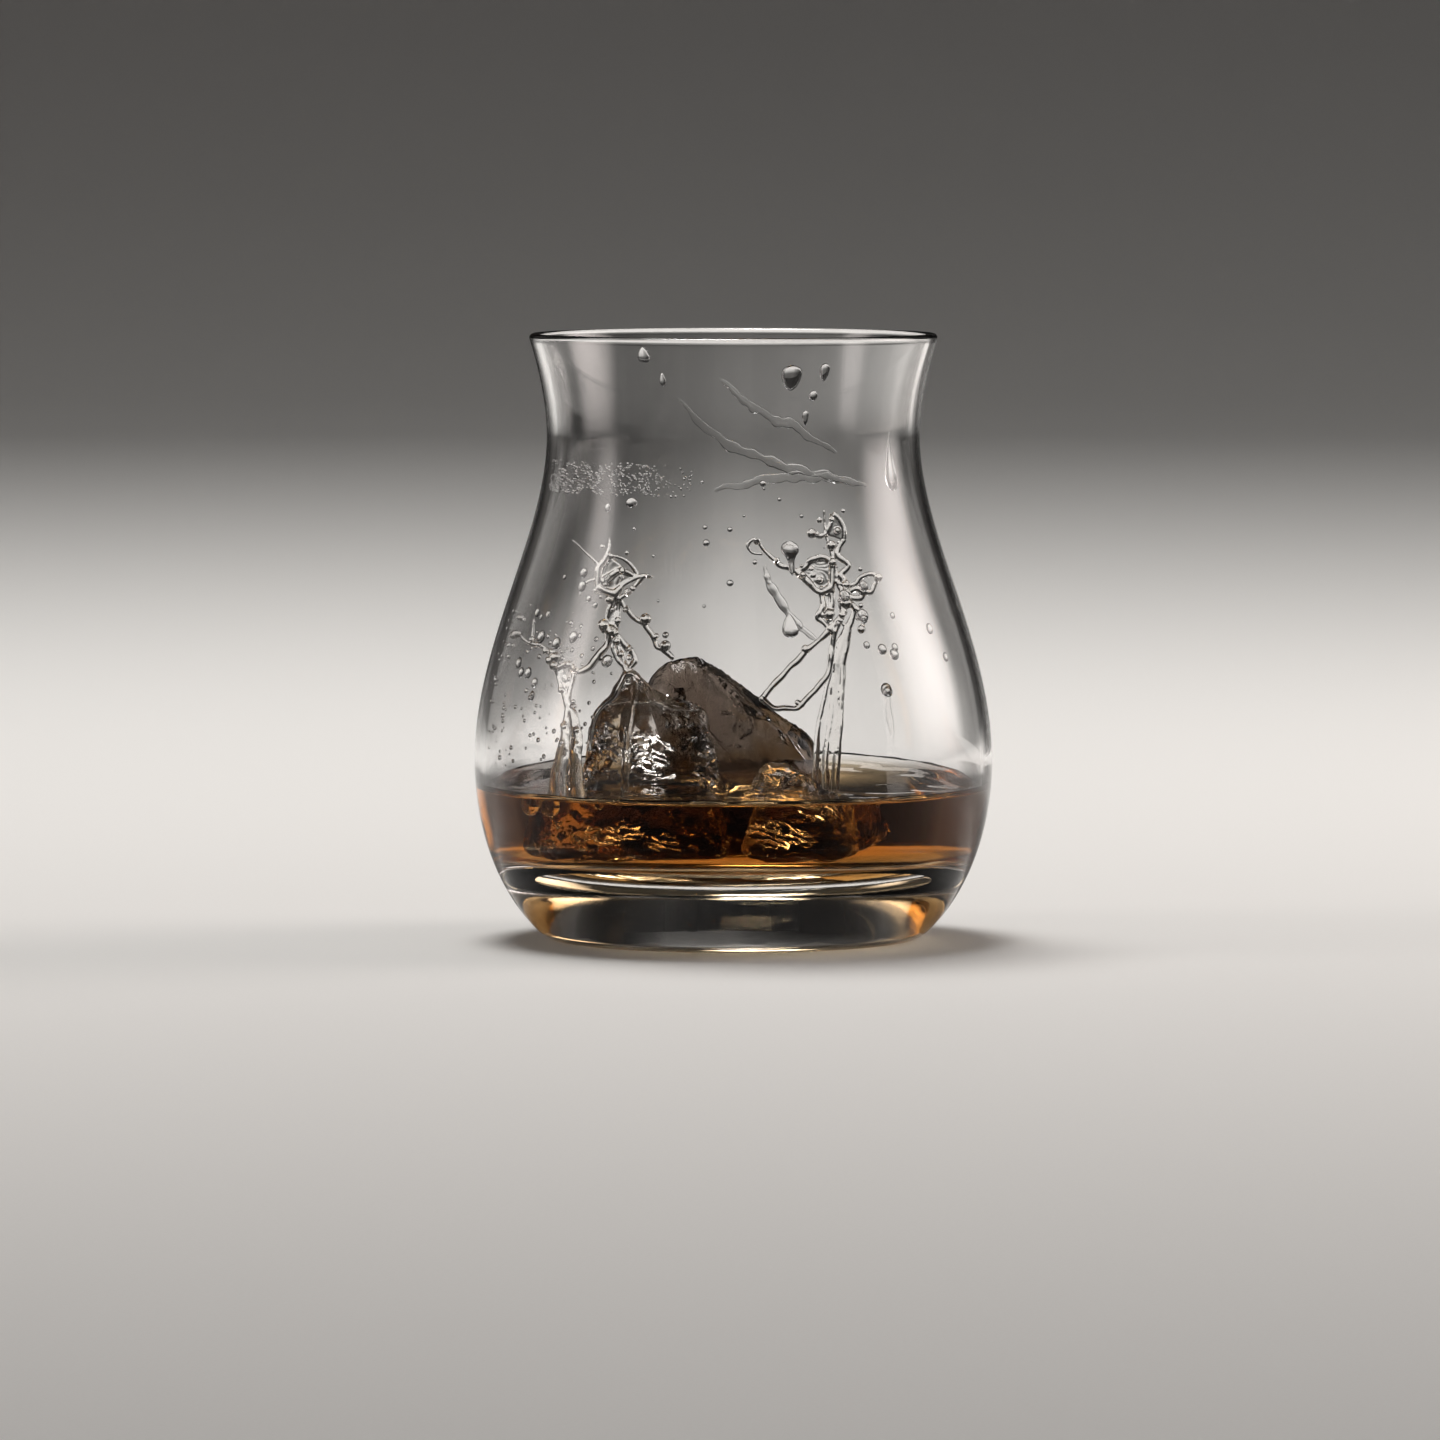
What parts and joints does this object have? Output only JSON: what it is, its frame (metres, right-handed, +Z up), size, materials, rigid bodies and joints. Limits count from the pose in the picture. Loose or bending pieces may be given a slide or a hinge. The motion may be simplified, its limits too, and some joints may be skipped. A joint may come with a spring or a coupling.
{
  "type": "whisky mixer glass",
  "caption": "Served whisky tumbler: heavy-based clear crystal bowl with a drawn-in waist and flared rim, holding whisky, ice rocks that lift out, a splash and drops on the wall.",
  "frame": {"origin": "centre of the foot, on the surface that the glass stands on", "axes": "+Z up along the glass's axis, -Y towards the viewer of the picture, +X to that viewer's right"},
  "size_m": [0.089, 0.089, 0.104],
  "materials": {
    "crystal": "clear polished lead-free crystal",
    "whisky": "clear dark amber liquid",
    "ice": "clear wet ice with cracks",
    "splash": "clear thin whisky",
    "drop": "clear water"
  },
  "bodies": {
    "glass_and_drink": {"glass_body": "crystal", "whisky": "whisky", "splash_left": "splash", "splash_spray": "splash", "splash_right": "splash", "drop_under_rim": "drop", "drop_below_rim": "drop", "drop_high_large": "drop", "drop_high_long": "drop", "drop_high_round": "drop", "drop_high_small": "drop", "drop_running": "drop", "drop_mushroom": "drop", "drop_low": "drop", "drop_side": "drop", "drop_left_wall": "drop", "drop_left_bead": "drop"},
    "ice_left": {"ice_rock_left": "ice"},
    "ice_back": {"ice_rock_back": "ice"},
    "ice_right": {"ice_rock_right": "ice"}
  },
  "joints": [
    {"name": "ice_left_lift", "type": "slide", "parent": "glass_and_drink", "child": "ice_left", "axis": [0, 0, 1], "range_m": [0, 0.1]},
    {"name": "ice_back_lift", "type": "slide", "parent": "glass_and_drink", "child": "ice_back", "axis": [0, 0, 1], "range_m": [0, 0.1]},
    {"name": "ice_right_lift", "type": "slide", "parent": "glass_and_drink", "child": "ice_right", "axis": [0, 0, 1], "range_m": [0, 0.1]}
  ]
}
